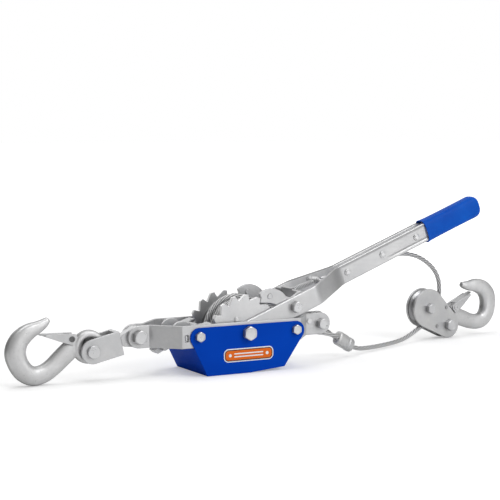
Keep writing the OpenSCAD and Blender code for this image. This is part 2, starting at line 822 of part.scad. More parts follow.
// the hook with the lug on its shank that the latch rivet goes through
module hook_with_lug(er, hr, half, bowl) {
    difference() {
        union() {
            hook_body(er, hr, half, bowl);
            translate(bowl) translate([latch_x, 0, latch_z]) rotate([0, 40, 0])
                translate([-7, -4.8, -10]) cube([12, 9.6, 12]);
        }
        translate(bowl) rod(latch_x, latch_z, 2.55, -12, 12);
    }
}

module on_anchor_hook() {
    on_link() translate([pin_at, 0, 0]) rotate([0, link_tilt + anchor_lift, 0])
        translate([2, 0, 0]) mirror([0, 0, 1]) translate([0, 0, 5.2]) children();
}

module anchor_hook() {
    color(zinc) on_anchor_hook() hook_with_lug(eye_r, eye_hole_r, 7, [0, 0, 0]);
}

module anchor_latch() {
    color(zinc) on_anchor_hook() latch_body();
}

module anchor_latch_rivet() {
    color(steel) on_anchor_hook() latch_rivet_body();
}

module anchor_latch_spring() {
    color(steel) on_anchor_hook() wire(latch_coil, 0.4, 6, [0, 1, 0]);
}

load_angle = 24.8;
load_off = 3;
load_bowl = [-3, 0, 5];

module on_load_hook() {
    at_block() translate([hook_s, block_mid, hook_h]) rotate([0, -load_angle, 0])
        translate([load_off, 0, 0]) children();
}

module load_hook() {
    color(zinc) on_load_hook() hook_with_lug(20, 10, 6.9, load_bowl);
}

module load_latch() {
    color(zinc) on_load_hook() translate(load_bowl) latch_body();
}

module load_latch_rivet() {
    color(steel) on_load_hook() translate(load_bowl) latch_rivet_body();
}

module load_latch_spring() {
    color(steel) on_load_hook() translate(load_bowl)
        wire(latch_coil, 0.4, 6, [0, 1, 0]);
}

frame_plate_front();
frame_plate_rear();
guard();
guard_bolts();
guard_nuts();
drum_shaft_bolt();
drum_shaft_nut();
anchor_bolt();
anchor_nut();
rope_end_bolt();
rope_end_nut();
neck_rivet();
rope_thimble();
rope_ferrule();
rope_eye();
rope_run();
holding_pawl_pin();
holding_pawl_spring();
block_plate_front();
block_plate_rear();
sheave_bolt();
sheave_nut();
hook_bolt();
hook_nut();
block_spacers();
ratchet_wheel_front();
ratchet_wheel_rear();
drum_spool();
drum_rivets();
rope_on_drum();
handle_strap_front();
handle_strap_rear();
handle_grip();
handle_rivets();
handle_spacers();
pawl_bolt();
pawl_bolt_nut();
spring_cross_pin();
pawl_spring();
drive_pawl();
pawl_rivets();
spring_rod();
holding_pawl();
swivel_eye();
clevis();
clevis_pin();
anchor_hook();
anchor_latch();
anchor_latch_rivet();
anchor_latch_spring();
sheave();
sheave_bush();
load_hook();
load_latch();
load_latch_rivet();
load_latch_spring();
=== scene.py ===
"""Come along winch, dressed: steel plates, forged hooks, laid wire rope and a painted guard.

Shapes are worked out in millimetres and turned to metres by MM when a mesh is made. x runs
along the frame, y to the back and z up; the drum's shaft crosses x = 0 at height SHAFT_Z."""
import json
from math import cos, pi, radians, sin

import bmesh
import bpy
import numpy as np
from mathutils import Matrix, Vector


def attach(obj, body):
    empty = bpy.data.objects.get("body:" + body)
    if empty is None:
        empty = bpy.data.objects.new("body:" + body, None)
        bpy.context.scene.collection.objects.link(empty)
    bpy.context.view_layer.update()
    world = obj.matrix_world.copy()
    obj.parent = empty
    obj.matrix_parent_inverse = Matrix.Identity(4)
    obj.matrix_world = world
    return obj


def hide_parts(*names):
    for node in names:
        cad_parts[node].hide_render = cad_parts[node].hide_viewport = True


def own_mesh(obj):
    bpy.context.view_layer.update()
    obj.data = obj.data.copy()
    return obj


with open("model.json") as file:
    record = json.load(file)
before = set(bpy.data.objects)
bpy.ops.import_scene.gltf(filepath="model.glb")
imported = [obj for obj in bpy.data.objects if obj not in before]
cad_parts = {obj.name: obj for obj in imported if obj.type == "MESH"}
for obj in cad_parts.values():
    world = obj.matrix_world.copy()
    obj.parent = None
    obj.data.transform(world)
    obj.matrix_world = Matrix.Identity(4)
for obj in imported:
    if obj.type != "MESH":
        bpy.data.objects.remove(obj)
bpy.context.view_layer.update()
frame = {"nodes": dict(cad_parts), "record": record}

MM = 0.001
SHAFT_Z = 53.5
SHAFT_AT = np.array([0, 0, SHAFT_Z])
HANDLE_ANGLE = 21.2
LEVER_COS, LEVER_SIN = cos(radians(HANDLE_ANGLE)), sin(radians(HANDLE_ANGLE))


# ------------------------------------------------------------------ camera and light
def looking(name, data, at, way):
    """Puts a camera or a lamp at a place in metres, looking along way."""
    ob = bpy.data.objects.new(name, data)
    ob.location = at
    ob.rotation_euler = Vector(way).to_track_quat("-Z", "Y").to_euler()
    bpy.context.scene.collection.objects.link(ob)
    return ob


cam_data = bpy.data.cameras.new("camera")
cam_data.lens, cam_data.sensor_width, cam_data.clip_end = 101.392, 36, 60
bpy.context.scene.camera = looking("camera", cam_data, (-0.8896, -1.6813, 0.3224),
                                   (0.477, 0.8748, -0.0845))
bpy.context.scene.view_settings.view_transform = "Standard"

LIT_POINT = Vector((0.05, 0, 0.08))
for name, at, size, power in (
        ("key_box", (1.0, -2.1, 1.9), (1.4, 1.1), 21),
        ("front_box", (1.25, -2.3, 0.45), (1.5, 0.9), 8),
        ("back_box", (-0.3, 2.2, 1.2), (1.8, 1.0), 6),
        ("top_box", (-0.3, 0.3, 2.3), (2.2, 1.2), 18)):
    box = bpy.data.lights.new(name, "AREA")
    box.shape = "RECTANGLE"
    box.size, box.size_y = size
    box.energy = power
    looking(name, box, at, LIT_POINT - Vector(at))


# ------------------------------------------------------------------ shader sums
class Soc:
    """A shader value; plus, minus, times and less than add Math nodes."""

    def __init__(self, tree, socket):
        self.tree, self.socket = tree, socket

    def math(self, operation, *others):
        """This value and the others through one Math node."""
        return add(self.tree, "ShaderNodeMath", {"operation": operation}, [self, *others])

    def __add__(self, o):
        return self.math("ADD", o)

    def __sub__(self, o):
        return self.math("SUBTRACT", o)

    def __rsub__(self, o):
        return add(self.tree, "ShaderNodeMath", {"operation": "SUBTRACT"}, [o, self])

    def __mul__(self, o):
        return self.math("MULTIPLY", o)

    def __lt__(self, o):
        return self.math("LESS_THAN", o)

    __radd__, __rmul__ = __add__, __mul__


def add(tree, kind, settings=None, values=(), out=0):
    """Adds a node of that kind: its settings first, then the values or links of its sockets.
    values is a list in socket order, or a dict by socket name or number."""
    node = tree.nodes.new(kind)
    for key, value in (settings or {}).items():
        setattr(node, key, value)
    pairs = values.items() if isinstance(values, dict) else enumerate(values)
    for key, value in pairs:
        socket = node.inputs[key]
        if isinstance(value, Soc):
            tree.links.new(value.socket, socket)
        elif isinstance(value, tuple) and socket.type == "RGBA":
            socket.default_value = (*value, 1)
        else:
            socket.default_value = value
    return Soc(tree, node.outputs[out])


def grey(v):
    """A colour of three equal parts."""
    return (v, v, v)


def mix(tree, factor, a, b):
    """Blends two colours."""
    return add(tree, "ShaderNodeMix", {"data_type": "RGBA"}, {0: factor, 6: a, 7: b}, out=2)


def place(tree, scale=(1, 1, 1), turn=(0, 0, 0), source="Object"):
    """Object or UV coordinates, scaled to a pattern's own size."""
    return add(tree, "ShaderNodeMapping", {}, {
        "Vector": add(tree, "ShaderNodeTexCoord", out=source), "Scale": scale,
        "Rotation": turn})


def split(tree, vector):
    """The three parts of a vector."""
    first = add(tree, "ShaderNodeSeparateXYZ", {}, [vector])
    return [Soc(tree, socket) for socket in first.socket.node.outputs]


def noise(tree, at, scale, detail=3.0, rough=0.5):
    """Cloudy noise with scale waves to the metre."""
    return add(tree, "ShaderNodeTexNoise", {}, {
        "Vector": at, "Scale": scale, "Detail": detail, "Roughness": rough})


def spread(tree, value, low, high, to_low=0.0, to_high=1.0):
    """Stretches a value from low..high to to_low..to_high, held at the ends."""
    return add(tree, "ShaderNodeMapRange", {"clamp": True},
               [value, low, high, to_low, to_high])


def light_level_of(tree):
    """The mesh's own light level attribute, a mask for painted light and shade: for most
    finishes low values are painted shade; for the ratchet wheels' finish 1 marks the flanks
    for a painted highlight.
    """
    return add(tree, "ShaderNodeAttribute", {"attribute_name": "crown"}, out=2)


def finish(name, fill, metallic, depth, specular=0.5):
    """A material whose fill gives its colour, roughness and height; depth is the height's
    reach in metres."""
    mat = bpy.data.materials.new(name)
    mat.use_nodes = True
    tree = mat.node_tree
    shader = tree.nodes["Principled BSDF"]
    colour, rough, height = fill(tree)
    bump = add(tree, "ShaderNodeBump", {}, {
        "Strength": 1.0, "Distance": depth, "Height": height})
    for key, part in (("Base Color", colour), ("Roughness", rough), ("Normal", bump)):
        tree.links.new(part.socket, shader.inputs[key])
    shader.inputs["Metallic"].default_value = metallic
    shader.inputs["Specular IOR Level"].default_value = specular
    return mat


def plated(name, tone, metallic, rough, grain, depth, warm=0.0, stretch=(1, 1, 1),
           shade_painted=False, cut=False):
    """Zinc plate over rolled steel: cloudy tone, fine rolled grain and scattered small pits.
    A piece with painted shade is darker where its light level is low; a cut one is painted
    lighter on its flanks, where its light level is 1, a painted highlight."""
    def fill(tree):
        """Colour from clouds, grain and pits over the tone; roughness and height from them."""
        at = place(tree)
        cloud = noise(tree, at, 38.0, 4.0, 0.55)
        fine = noise(tree, place(tree, stretch), grain, 3.0, 0.6)
        pits = spread(tree, noise(tree, at, 420.0, 2.0, 0.5), 0.64, 0.8)
        col = mix(tree, spread(tree, cloud, 0.32, 0.7),
                  (tone * 0.9, tone * 0.905, tone * 0.92),
                  (tone * 1.04, tone * 1.04, tone * (1.045 - warm)))
        col = mix(tree, spread(tree, fine, 0.35, 0.75, 0.0, 0.22), col, grey(tone * 0.78))
        col = mix(tree, pits * 0.18, col, grey(tone * 0.6))
        # painted shade: darker where the light level is low
        if shade_painted:
            col = mix(tree, light_level_of(tree), grey(tone * 0.3), col)
        # painted highlight: the flanks, where the light level is 1, are painted near white
        if cut:
            col = mix(tree, light_level_of(tree), col, grey(0.97))
        r = spread(tree, cloud * 0.6 + fine * 0.4, 0.3, 0.7, rough - 0.06, rough + 0.08)
        return col, r, fine * 0.7 - pits * 0.6 + cloud * 0.5
    return finish(name, fill, metallic, depth)


ROLLED = (0.25, 3.0, 3.0)       # grain drawn out along the bar
zinc = plated("zinc_plate", 0.62, 0.6, 0.36, 260.0, 0.00005)
zinc_long = plated("zinc_rolled", 0.62, 0.6, 0.35, 90.0, 0.00005, stretch=ROLLED)
# painted light: the rear strap gets a lighter, less metallic copy of the front's finish, so
# its inner face shows bright in the front strap's shade
zinc_strap = {word: plated("zinc_strap_" + word, tone, metallic, 0.35, 90.0, 0.00005,
                           stretch=ROLLED, shade_painted=True)
              for word, tone, metallic in (("front", 0.62, 0.6), ("rear", 0.95, 0.2))}
bright = plated("zinc_fastener", 0.7, 0.7, 0.3, 160.0, 0.00001)
bolt_zinc = plated("zinc_bolt", 0.7, 0.65, 0.3, 160.0, 0.00001, shade_painted=True)
dark_zinc = plated("zinc_block", 0.63, 0.62, 0.4, 240.0, 0.00006, warm=0.02)
steel = plated("turned_steel", 0.45, 0.85, 0.33, 500.0, 0.00003)
spring_steel = plated("spring_wire", 0.85, 0.4, 0.3, 700.0, 0.00002)
# painted highlight on the ratchet wheels' tooth flanks
flank_light_zinc = plated("zinc_painted_flank_light", 0.66, 0.58, 0.36, 260.0, 0.00005, cut=True)
dull = plated("dull_rivet", 0.16, 0.5, 0.5, 160.0, 0.00001)
bronze = plated("sintered_bronze", 0.4, 0.9, 0.42, 600.0, 0.00005, warm=0.4)


def forged_fill(tree):
    """Forged and plated: soft hammer scale, sand fine pits and tone that drifts over the bend;
    the flanks are painted dark where the light level is low, painted shade."""
    at = place(tree)
    broad = noise(tree, at, 26.0, 3.0, 0.5)
    scale_marks = noise(tree, at, 120.0, 4.0, 0.6)
    sand = noise(tree, at, 900.0, 2.0, 0.6)
    pits = spread(tree, noise(tree, at, 310.0, 2.0, 0.5), 0.63, 0.76)
    col = mix(tree, spread(tree, broad, 0.3, 0.7), grey(0.62), (0.74, 0.74, 0.745))
    col = mix(tree, spread(tree, scale_marks, 0.4, 0.75, 0.0, 0.25), col, grey(0.46))
    col = mix(tree, pits * 0.4, col, grey(0.34))
    # painted shade: dark flanks where the light level is low
    col = mix(tree, light_level_of(tree), grey(0.2), col)
    rough = spread(tree, scale_marks, 0.3, 0.75, 0.32, 0.5)
    return col, rough, scale_marks * 0.8 + sand * 0.25 - pits * 0.7


def paint_fill(tree):
    """Blue gloss paint: even colour, faint orange peel, slightly deeper patches."""
    at = place(tree)
    cloud = noise(tree, at, 14.0, 2.0, 0.5)
    peel = noise(tree, at, 330.0, 2.0, 0.5)
    dust = spread(tree, noise(tree, at, 700.0, 2.0, 0.5), 0.66, 0.8)
    col = mix(tree, spread(tree, cloud, 0.3, 0.7), (0.0, 0.05, 0.44), (0.0, 0.06, 0.5))
    col = mix(tree, dust * 0.08, col, (0.02, 0.1, 0.5))
    return col, spread(tree, peel, 0.3, 0.7, 0.4, 0.48), peel + dust * 0.2


def grip_fill(tree):
    """Blue dipped vinyl: soft sheen, very fine pebble and faint lengthwise drag marks."""
    at = place(tree)
    pebble = noise(tree, at, 620.0, 2.0, 0.55)
    cloud = noise(tree, at, 22.0, 3.0, 0.5)
    drag = noise(tree, place(tree, (1.0, 6.0, 6.0), (0, radians(HANDLE_ANGLE), 0)), 30.0, 2.0)
    col = mix(tree, spread(tree, cloud, 0.3, 0.7), (0.0, 0.075, 0.48), (0.0, 0.1, 0.56))
    col = mix(tree, spread(tree, drag, 0.5, 0.8, 0.0, 0.15), col, (0.0, 0.16, 0.75))
    return col, spread(tree, pebble, 0.3, 0.7, 0.4, 0.5), pebble + drag * 0.6


def rope_fill(tree):
    """Wire rope: fine wires across each strand, painted shade in the valleys between strands,
    full tone on the strands' tops. The wires are a sawtooth of the UV map's length and strand
    number, folded to a ridge."""
    along, around, _ = split(tree, place(tree, source="UV"))
    wires = (along * 2.1 + around * 9.0).math("FRACT")
    ridge = 1.0 - (wires - 0.5).math("ABSOLUTE") * 2.0
    spots = noise(tree, place(tree), 240.0, 3.0, 0.6)
    # painted shade: near black where the light level is low, in the valleys between strands
    tone = mix(tree, spread(tree, light_level_of(tree), 0.2, 0.8), (0.012, 0.012, 0.011),
               (0.72, 0.72, 0.725))
    tone = mix(tree, spread(tree, ridge, 0.0, 0.3, 0.12, 0.0), tone, grey(0.14))
    tone = mix(tree, spread(tree, spots, 0.5, 0.75, 0.0, 0.15), tone, (0.28, 0.27, 0.26))
    return tone, spread(tree, spots, 0.3, 0.7, 0.32, 0.46), ridge


def label_fill(tree):
    """Printed label from rounded box distances: white rim, dark line, orange field, two bars
    and two dots. Its UV map is in millimetres from the label's middle."""
    x, y, _ = split(tree, place(tree, source="UV"))

    def box_gap(cx, cy, hw, hh, r):
        """Distance to a box of half size hw by hh, its corners rounded by r, inside negative:
        the length of what lies past the corners' centres, less r."""
        dx = ((x - cx).math("ABSOLUTE") - (hw - r)).math("MAXIMUM", 0.0)
        dy = ((y - cy).math("ABSOLUTE") - (hh - r)).math("MAXIMUM", 0.0)
        return (dx * dx + dy * dy).math("SQRT") - r

    rim = box_gap(0, 0, 36.2, 7.6, 5.6)
    line = box_gap(0, 0, 34.8, 6.3, 4.4)
    bars = [box_gap(0, cy, 22.0, 0.85, 0.8) for cy in (2.0, -2.0)]
    dots = [box_gap(cx, 0, 2.2, 2.2, 2.2) for cx in (-28.0, 28.0)]
    col = mix(tree, rim < 0.0, (0.86, 0.87, 0.88), (0.09, 0.035, 0.03))
    col = mix(tree, line < 0.0, col, (0.8, 0.15, 0.008))
    for gap in bars + dots:
        col = mix(tree, gap < 0.0, col, (0.88, 0.88, 0.87))
    print_dots = noise(tree, place(tree), 500.0, 2.0)
    col = mix(tree, spread(tree, print_dots, 0.55, 0.8, 0.0, 0.1), col, (0.6, 0.4, 0.3))
    return col, spread(tree, print_dots, 0.3, 0.7, 0.26, 0.34), print_dots


forged = finish("forged_zinc", forged_fill, 0.6, 0.00022)
paint = finish("blue_paint", paint_fill, 0.0, 0.00003, 0.03)
vinyl = finish("blue_vinyl", grip_fill, 0.0, 0.00006, 0.12)
wire_rope = finish("wire_rope", rope_fill, 0.65, 0.00007)
label_print = finish("label_print", label_fill, 0.0, 0.00001, 0.15)


# ------------------------------------------------------------------ mesh making
class Shell:
    """Collects closed tubes of points into one mesh, each corner with its own UV."""

    def __init__(self):
        self.points, self.faces, self.uvs, self.crowns, self.count = [], [], [], [], 0

    def grid(self, p, uv=None, crown=None, flip=False, loop=False, capped=True):
        """p[i, j] in mm: i along, j around and closed on itself. loop joins the last ring to
        the first, capped closes each end with a flat face, flip turns the faces over."""
        n, m = p.shape[:2]
        u, v = uv or np.meshgrid(np.arange(n + 1.0), np.arange(m + 1.0), indexing="ij")
        i, j = np.meshgrid(np.arange(n if loop else n - 1), np.arange(m), indexing="ij")
        i, j = i.ravel(), j.ravel()
        i2, j2 = (i + 1) % n, (j + 1) % m
        quad = np.stack([i * m + j, i2 * m + j, i2 * m + j2, i * m + j2], 1) + self.count
        corners = ((i, j), (i + 1, j), (i + 1, j + 1), (i, j + 1))
        quv = np.stack([np.stack([u[at], v[at]], 1) for at in corners], 1)
        if flip:
            quad, quv = quad[:, ::-1], quv[:, ::-1]
        self.faces += quad.tolist()
        self.uvs.append(quv.reshape(-1, 2))
        if capped and not loop:
            ring = np.arange(m)
            for first in (True, False):
                cap = (ring if first != flip else ring[::-1]) + (0 if first else (n - 1) * m)
                self.faces.append((cap + self.count).tolist())
                self.uvs.append(np.zeros((m, 2)))
        self.points.append(p.reshape(-1, 3))
        self.crowns.append(np.ones(n * m) if crown is None else crown.ravel())
        self.count += n * m
        return self

    def mesh(self, name):
        """The mesh of all grids so far, in metres, with its UV map and its light level
        attribute, the mask for painted light and shade.
        """
        me = bpy.data.meshes.new(name)
        me.from_pydata((np.concatenate(self.points) * MM).tolist(), [], self.faces)
        layer = me.uv_layers.new(name="UVMap")
        layer.data.foreach_set("uv", np.concatenate(self.uvs).astype(np.float32).ravel())
        att = me.attributes.new("crown", "FLOAT", "POINT")
        att.data.foreach_set("value", np.concatenate(self.crowns).astype(np.float32))
        return me


def piece(name, mesh, mat, node, smooth=40.0, stands_in=True):
    """Makes the object with its material; it rides on the CAD node's body and, where it
    stands in for that node, hides it."""
    ob = bpy.data.objects.new(name, mesh)
    bpy.context.scene.collection.objects.link(ob)
    mesh.materials.clear()
    mesh.materials.append(mat)
    mesh.polygons.foreach_set("use_smooth", np.ones(len(mesh.polygons), bool))
    mesh.set_sharp_from_angle(angle=radians(smooth))
    bodies = frame["record"]["behaviour"]["bodies"]
    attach(ob, next(body for body, nodes in bodies.items() if node in nodes))
    if stands_in:
        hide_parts(node)
    return ob


def facing_out(me):
    """Turns the faces of closed shells outwards."""
    bm = bmesh.new()
    bm.from_mesh(me)
    bmesh.ops.recalc_face_normals(bm, faces=bm.faces)
    bm.to_mesh(me)
    bm.free()


def baked(ob):
    """The mesh of an object with its modifiers carried out; the object goes away."""
    bpy.context.view_layer.update()
    me = bpy.data.meshes.new_from_object(
        ob.evaluated_get(bpy.context.evaluated_depsgraph_get()))
    bpy.data.objects.remove(ob)
    return me


def softened(node, mat, width):
    """A merged copy of a CAD solid whose sharp edges are rounded as broken edges on steel
    are: coplanar faces are joined, then every edge past 32 degrees gets a two step round.
    Faces that look more along x and z than along y are its flanks, with a light level of 1
    that the ratchet wheels' finish paints as a highlight; other faces get 0."""
    me = frame["nodes"][node].data.copy()
    bm = bmesh.new()
    bm.from_mesh(me)
    bmesh.ops.remove_doubles(bm, verts=bm.verts, dist=0.000004)
    bmesh.ops.dissolve_limit(bm, angle_limit=radians(0.6), verts=bm.verts, edges=bm.edges,
                             delimit=set())
    bm.to_mesh(me)
    bm.free()
    normal = np.empty(len(me.polygons) * 3, np.float32)
    me.polygons.foreach_get("normal", normal)
    flank = me.attributes.new("crown", "FLOAT", "FACE")
    flank.data.foreach_set("value", (np.abs(normal[1::3]) < 0.5).astype(np.float32))
    ob = piece(node + "_edged", me, mat, node)
    bev = ob.modifiers.new("edge", "BEVEL")
    bev.width = width * MM
    bev.segments = 2
    bev.limit_method = "ANGLE"
    bev.angle_limit = radians(32)
    bev.use_clamp_overlap = False
    bev.miter_outer = "MITER_ARC"
    ob.modifiers.new("flat_faces", "WEIGHTED_NORMAL").keep_sharp = True


def unit(v):
    """Vectors brought to length 1."""
    return v / np.maximum(np.linalg.norm(v, axis=-1, keepdims=True), 1e-12)


def turned(p, degrees, axis="Y"):
    """Points turned about an axis through the origin."""
    return p @ np.array(Matrix.Rotation(radians(degrees), 3, axis)).T


def length_at(path):
    """The length run at each point of a path."""
    return np.concatenate([[0], np.cumsum(np.linalg.norm(np.diff(path, axis=0), axis=1))])


def spline(points, count):
    """Catmull Rom curve through the points, at count even steps of its own length."""
    p = np.array(points, float)
    q = np.concatenate([p[:1], p, p[-1:]])
    t = np.linspace(0, len(p) - 1, 40 * (len(p) - 1) + 1)
    k = np.minimum(t.astype(int), len(p) - 2)
    f = (t - k)[:, None]
    a, b, c, d = q[k], q[k + 1], q[k + 2], q[k + 3]
    fine = 0.5 * (2 * b + (c - a) * f + (2 * a - 5 * b + 4 * c - d) * f ** 2
                  + (3 * b - a - 3 * c + d) * f ** 3)
    s = length_at(fine)
    at = np.linspace(0, s[-1], count)
    return np.stack([np.interp(at, s, column) for column in fine.T], 1), s[-1]


def frames(path, ref):
    """Tangent and two cross directions along a path, kept square to a reference direction."""
    t = unit(np.gradient(path, axis=0))
    u = unit(np.cross(t, ref))
    return t, u, np.cross(u, t)


def oval(w, h, power, count):
    """Superellipse points: w and h are half sizes, a higher power is squarer."""
    a = np.arange(count) * 2 * pi / count
    c, s = np.cos(a), np.sin(a)
    return (w * np.sign(c) * np.abs(c) ** (2 / power),
            h * np.sign(s) * np.abs(s) ** (2 / power))


def ease(x):
    """A soft step from 0 to 1, level at both ends."""
    return 3 * x ** 2 - 2 * x ** 3


# ------------------------------------------------------------------ places on the winch
BLOCK_AT = np.array([430.0, 85.0, SHAFT_Z])
BLOCK_YAW = 6
BX = np.array([cos(radians(BLOCK_YAW)), sin(radians(BLOCK_YAW)), 0])
BY = np.array([-sin(radians(BLOCK_YAW)), cos(radians(BLOCK_YAW)), 0])
BZ = np.array([0, 0, 1.0])
BLOCK_MID = 10.3                        # middle of the block's depth
SHEAVE_S, SHEAVE_H = -44.0, -4.5        # the sheave's bolt, along the block and up
HOOK_S, HOOK_H = -3.2, -33.0            # the load hook's bolt
BLOCK_DEPTH = 20.6                      # over both of the block's plates
ANCHOR_X, ROPE_END_X = -144.2, 133.8    # the bolts in the frame's two necks
NECK_Y, FORK_Y = 11.7, 39.2             # outer faces of the necks and of the handle's fork
GUARD_Y, GUARD_NUT_Y = 46.5, 33.5       # the guard's outer face, the seat of its nuts
EAR_X, EAR_Z, EAR_R = 73.1, -1.5, 13    # the guard's ears: bolt, middle and radius


def shaft_at(x, y, z):
    """A point measured from the drum's shaft."""
    return np.array([x, y, z + SHAFT_Z])


def handle_at(r, y, n):
    """Points in the handle's frame: r along it, y across, n square to it on its upper side."""
    return np.stack([r * LEVER_COS - n * LEVER_SIN, y,
                     r * LEVER_SIN + n * LEVER_COS + SHAFT_Z], -1)


def block_at(s, y, h):
    """A point in the pulley block's frame: s along it, y through its depth, h up."""
    return BLOCK_AT + s * BX + y * BY + h * BZ


# ------------------------------------------------------------------ the ropes
STRAND_POINTS, VALLEY = 7, 0.68         # points over a strand, size at the grooves
LAY = 60.0                              # length in which the strands turn once
WIND_R, PITCH, WIND_N, WIND_END = 39.4, 6.7, 67, -4     # centreline, rope to rope, steps, y
RUN_R, SHEAVE_R = 46.1, 26.6            # the run's centreline on the drum and on the sheave


def laid_rope(shell, path, radius):
    """Six strands laid round a core. The outline at strand angle a is the strand circle of
    radius R/3 centred 2R/3 out, and the whole section turns once in each lay length."""
    n, m = len(path), 6 * STRAND_POINTS
    s = length_at(path)
    k = np.arange(m)
    local = ((k % STRAND_POINTS + 0.5) / STRAND_POINTS - 0.5) * radians(60)
    a, r = 2 * radius / 3, radius / 3 * 1.02
    out = a * np.cos(local) + np.sqrt(np.maximum(r * r - (a * np.sin(local)) ** 2, 0))
    out = np.maximum(out, radius * VALLEY)
    # the light level: 0 in the valleys between strands, painted shade there, 1 on the strands'
    # tops
    crown = (out / radius - VALLEY) / (1 - VALLEY)
    turn = k / STRAND_POINTS * radians(60) + 2 * pi * s[:, None] / LAY
    t, u, w = frames(path, (0, 1, 0))
    p = path[:, None] + out[None, :, None] * (np.cos(turn)[..., None] * u[:, None]
                                              + np.sin(turn)[..., None] * w[:, None])
    along = np.append(s, s[-1])[:, None] * np.ones(m + 1)
    strand = np.ones(n + 1)[:, None] * (np.arange(m + 1) / STRAND_POINTS)
    return shell.grid(p, uv=(along, strand), crown=np.broadcast_to(crown, (n, m)), flip=True)


# the standing run: off the drum, out to the block, round the sheave and back to the ferrule
arc = np.radians(np.arange(215, 70, -24))
drum_arc = np.stack([RUN_R * np.cos(arc), -6 - (np.degrees(arc) - 71) * 0.0222,
                     RUN_R * np.sin(arc)], 1)
upper_route = [[27, -4.8, 39], [45, -2, 31.6], [64, 2, 24.2], [82, 6.4, 19.4],
               [100, 12, 19.4], [120, 23, 21.6], [140, 38, 31], [160, 49.4, 42.8],
               [188, 55, 57], [220, 57.6, 69.2], [252, 59, 77.4], [286, 60.2, 82.3],
               [318, 62.6, 84.3], [345, 68.4, 81], [366, 73.6, 73.8], [385.4, 79, 62.8],
               [400, 84.6, 50.6], [409, 88.8, 37], [413, 91.8, 22], [412.8, 93.2, 8.6]]
arc = np.radians(np.arange(3, -93, -19))[:, None]
sheave_arc = (BLOCK_AT - SHAFT_AT + (SHEAVE_S + SHEAVE_R * np.cos(arc)) * BX
              + BLOCK_MID * BY + (SHEAVE_H + SHEAVE_R * np.sin(arc)) * BZ)
lower_route = [[372.4, 86.4, -34], [352, 77.4, -40.6], [330, 67.6, -45.8],
               [306, 56.4, -47.8], [280, 44.6, -48.2], [254, 34, -48],
               [230, 25, -47.2], [214, 17.6, -45], [200.2, 11.7, -40.8]]
run_path, run_len = spline(np.concatenate([drum_arc, upper_route, sheave_arc, lower_route])
                           + SHAFT_AT, 560)
strands = laid_rope(Shell(), run_path, radius=3.4)
rope = piece("laid_rope_run", strands.mesh("laid_rope_run"), wire_rope, "rope_run")

# the eye round the rope's end bolt
eye_route = np.array([
    [170.3, 2.7, -23.6], [162, 0.8, -20.4], [154, -0.8, -17.8], [146, -1.8, -15.8],
    [137, -1, -14.2], [127.6, 0, -12.1], [121.7, 0, -6], [120.2, 0, 0], [121.7, 0, 6.2],
    [126.5, 0, 11.4], [133.8, 0, 13.6], [141, 0, 11.5], [145.8, 0, 6.2], [147.8, 0.6, -1],
    [149.6, 2.4, -7], [152.8, 4.6, -12.6], [158.8, 6.9, -17.2], [169.3, 9.1, -23.7]])
eye_path, _ = spline(eye_route + SHAFT_AT, 110)
strands = laid_rope(Shell(), eye_path, radius=3.2)
eye = piece("laid_rope_eye", strands.mesh("laid_rope_eye"), wire_rope, "rope_eye")


def winding_path():
    """The turns on the drum: a helix of 15 degree steps that advances one rope a turn, then a
    climb to the layer above, a quarter circle whose radius is one rope's pitch."""
    turn = np.arange(WIND_N + 1)
    a = np.radians(225 - turn * 15)
    helix = np.stack([WIND_R * np.cos(a), WIND_END + (turn - WIND_N) * PITCH / 24,
                      WIND_R * np.sin(a)], 1)
    step = np.arange(1, 6)
    a, rise = np.radians(300 - step * 16.4), np.radians(step * 18)
    r = WIND_R + PITCH * np.sin(rise)
    climb = np.stack([r * np.cos(a), -10.7 + step * 0.3 + PITCH * np.cos(rise),
                      r * np.sin(a)], 1)
    return spline(np.concatenate([helix, climb]) + SHAFT_AT, 620)[0]


def buried_layers():
    """The layers below: a barrel whose outline is the crowns of the buried turns, the size of
    a cosine of one rope's pitch, with its ends drawn in to the spool."""
    y = np.linspace(-25.8, -0.9, 100)
    r = 34.8 + 1.2 * np.abs(np.cos(pi * (y - WIND_END) / PITCH))
    r = np.concatenate([[20.2], r, [20.2]])[:, None]
    y = np.concatenate([[-25.8], y, [-0.9]])
    a = np.arange(96) * 2 * pi / 96
    return np.stack([r * np.cos(a), y[:, None] + 0 * a, r * np.sin(a)], 2) + SHAFT_AT


drum = laid_rope(Shell(), winding_path(), radius=3.35)
layers = buried_layers()
# painted shade: the buried layers get a low light level of 0.25, so they are painted dark
drum.grid(layers, crown=np.full(layers.shape[:2], 0.25), capped=False)
piece("rope_winding", drum.mesh("rope_winding"), wire_rope, "rope_on_drum")


def ferrule():
    """Pressed oval sleeve: rings of a straight sided oval along its axis whose size swells at
    a long and a short ridge and rounds off at both mouths. The section's long side runs up,
    for the rope's two legs lie one behind the other."""
    s = np.linspace(-17, 17, 110)
    ridge = sum(1 / (1 + np.exp(np.clip((np.abs(s - c) - h) * 3.2, -30, 30)))
                for c, h in ((-5.8, 8.2), (9.9, 3.7)))
    edge = np.sqrt(np.clip(1 - ((np.abs(s) - 14.8).clip(0) / 2.4) ** 2, 0.15, 1))
    half_w = (9.5 + 0.65 * ridge) * edge
    half_h = (6.9 + 0.75 * ridge) * edge
    x, z = oval(1, 1, 2.5, 48)
    p = np.stack([s[:, None] + 0 * x, half_h[:, None] * z, half_w[:, None] * x], 2)
    tilt = Matrix.Rotation(radians(11), 3, "Z") @ Matrix.Rotation(radians(29), 3, "Y")
    return p @ np.array(tilt).T + np.array([184.8, 8.6, -32.0]) + SHAFT_AT


sleeve = piece("pressed_ferrule", Shell().grid(ferrule(), flip=True).mesh("pressed_ferrule"),
               dark_zinc, "rope_ferrule", 60)

